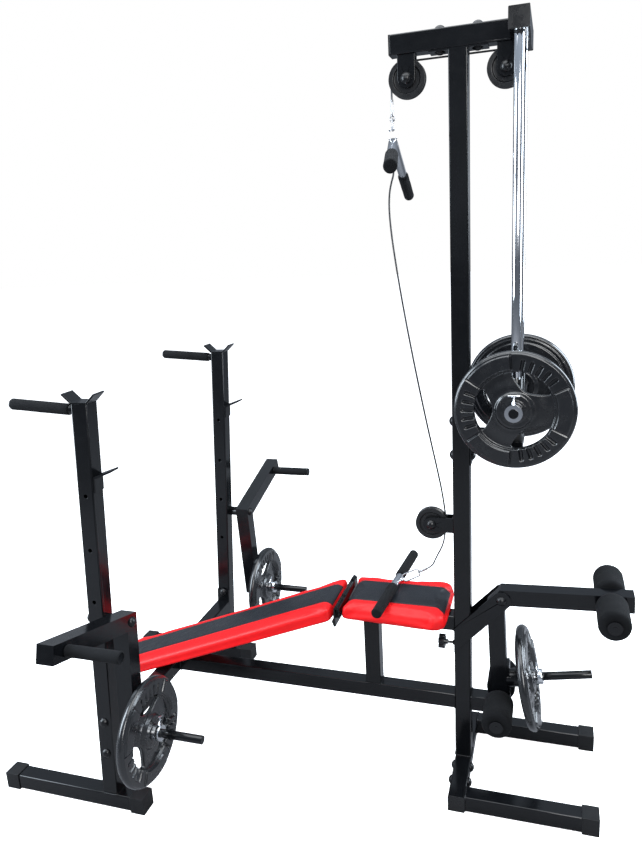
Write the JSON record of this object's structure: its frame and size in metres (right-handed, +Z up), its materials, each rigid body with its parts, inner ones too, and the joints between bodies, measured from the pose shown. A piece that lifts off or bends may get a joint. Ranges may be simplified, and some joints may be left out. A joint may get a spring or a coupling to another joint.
{
  "type": "multi station home gym",
  "caption": "Tower and rack home gym with a decline bench, cable carriage on guide rods, fly arms, leg developer, lat bar and low row bar.",
  "frame": {"origin": "on the floor under the centre of the tower post, at the underside of the tower's cross tube", "axes": "+Z up, +X along the bench from the rack towards the leg developer, +Y to the left hand side"},
  "size_m": [1.9204, 1.5628, 2.21],
  "materials": {
    "black_paint": "gloss powder coat",
    "chrome": "polished",
    "vinyl": "upholstery vinyl, dark centre panel",
    "foam_black": "matte foam",
    "cap_rubber": "matte",
    "plate_black": "rubber coated",
    "nylon_black": "satin",
    "bolt_cap": "gloss",
    "cable_coat": "satin"
  },
  "bodies": {
    "frame": {"rack_feet": "black_paint", "foot_caps": "cap_rubber", "rack_post_left": "black_paint", "rack_post_right": "black_paint", "bar_cradles": "black_paint", "safety_catches": "black_paint", "dip_bars": "black_paint", "dip_grips": "foam_black", "rear_cross_tube": "black_paint", "main_beam": "black_paint", "leg_arm_stop": "black_paint", "seat_support_post": "black_paint", "seat_rail": "black_paint", "seat_pad": "vinyl", "tower_base_tube": "black_paint", "tower_feet": "black_paint", "tube_end_plugs": "nylon_black", "tower_post": "black_paint", "top_beam": "black_paint", "top_cross_tube": "black_paint", "guide_rods": "chrome", "lower_guide_bracket": "black_paint", "guide_buffers": "cap_rubber", "upper_pulley_brackets": "black_paint", "low_pulley_bracket": "black_paint", "frame_bolts": "bolt_cap", "leg_arm_brackets": "black_paint", "main_cable_top": "cable_coat", "main_cable_rear": "cable_coat", "main_cable_front": "cable_coat", "low_cable_upper": "cable_coat", "low_cable_lower": "cable_coat"},
    "lock_knob": {"lock_knob": "nylon_black"},
    "carriage": {"carriage_frame": "black_paint", "carriage_plates": "plate_black", "carriage_collars": "chrome"},
    "front_pulley": {"front_pulley": "nylon_black"},
    "rear_pulley": {"rear_pulley": "nylon_black"},
    "low_pulley": {"low_pulley": "nylon_black"},
    "lat_bar": {"lat_bar": "chrome", "lat_bar_grips": "foam_black", "lat_clip": "chrome"},
    "row_bar": {"row_bar": "chrome", "row_bar_grips": "foam_black", "row_clip": "chrome"},
    "fly_arm_left": {"fly_arm_left": "black_paint", "fly_grip_left": "foam_black", "fly_plate_left": "plate_black", "fly_collar_left": "chrome"},
    "fly_arm_right": {"fly_arm_right": "black_paint", "fly_grip_right": "foam_black", "fly_plate_right": "plate_black", "fly_collar_right": "chrome"},
    "leg_arm": {"leg_arm": "black_paint", "leg_plate": "plate_black", "leg_collar": "chrome"},
    "upper_rollers": {"upper_foot_rollers": "foam_black"},
    "lower_rollers": {"lower_foot_rollers": "foam_black"},
    "backrest": {"backrest_pad": "vinyl", "backrest_frame": "black_paint"}
  },
  "joints": [
    {"name": "carriage_slide", "type": "slide", "parent": "frame", "child": "carriage", "axis": [0, 0, 1], "range_m": [0, 0.6], "deforming": ["main_cable_rear"]},
    {"name": "lat_bar_pull", "type": "slide", "parent": "frame", "child": "lat_bar", "axis": [0, 0, -1], "range_m": [0, 0.6], "deforming": ["main_cable_front", "low_cable_upper"]},
    {"name": "front_pulley_spin", "type": "hinge", "parent": "frame", "child": "front_pulley", "pos_m": [-0.135, 0, 2.091], "axis": [0, -1, 0], "continuous": true},
    {"name": "rear_pulley_spin", "type": "hinge", "parent": "frame", "child": "rear_pulley", "pos_m": [0.12, 0, 2.091], "axis": [0, -1, 0], "continuous": true},
    {"name": "low_pulley_spin", "type": "hinge", "parent": "frame", "child": "low_pulley", "pos_m": [-0.091, 0, 0.842], "axis": [0, 1, 0], "continuous": true},
    {"name": "fly_arm_left_swing", "type": "hinge", "parent": "frame", "child": "fly_arm_left", "pos_m": [-0.915, 0.4385, 0.657], "axis": [1, 0, 0], "range_deg": [0, 85]},
    {"name": "fly_arm_right_swing", "type": "hinge", "parent": "frame", "child": "fly_arm_right", "pos_m": [-0.915, -0.4385, 0.657], "axis": [-1, 0, 0], "range_deg": [0, 85]},
    {"name": "leg_arm_lift", "type": "hinge", "parent": "frame", "child": "leg_arm", "pos_m": [0.117, 0, 0.615], "axis": [0, -1, 0], "range_deg": [0, 90]},
    {"name": "upper_rollers_spin", "type": "hinge", "parent": "leg_arm", "child": "upper_rollers", "pos_m": [0.42443, 0, 0.63535], "axis": [0, 1, 0], "continuous": true},
    {"name": "lower_rollers_spin", "type": "hinge", "parent": "leg_arm", "child": "lower_rollers", "pos_m": [0.11266, 0, 0.27455], "axis": [0, 1, 0], "continuous": true},
    {"name": "backrest_raise", "type": "hinge", "parent": "frame", "child": "backrest", "pos_m": [-0.376, 0, 0.582], "axis": [0, 1, 0], "range_deg": [0, 62]},
    {"name": "row_bar_lift", "type": "slide", "parent": "frame", "child": "row_bar", "axis": [0, 0, 1], "range_m": [0, 0.08], "deforming": ["low_cable_lower"]},
    {"name": "lock_knob_turn", "type": "hinge", "parent": "frame", "child": "lock_knob", "pos_m": [-0.056, 0, 0.443], "axis": [1, 0, 0], "continuous": true}
  ],
  "couplings": [
    {"joint": "lat_bar_pull", "follows": "carriage_slide", "ratio": 1},
    {"joint": "front_pulley_spin", "follows": "carriage_slide", "rad_per_m": 22.988},
    {"joint": "rear_pulley_spin", "follows": "carriage_slide", "rad_per_m": 22.988}
  ]
}
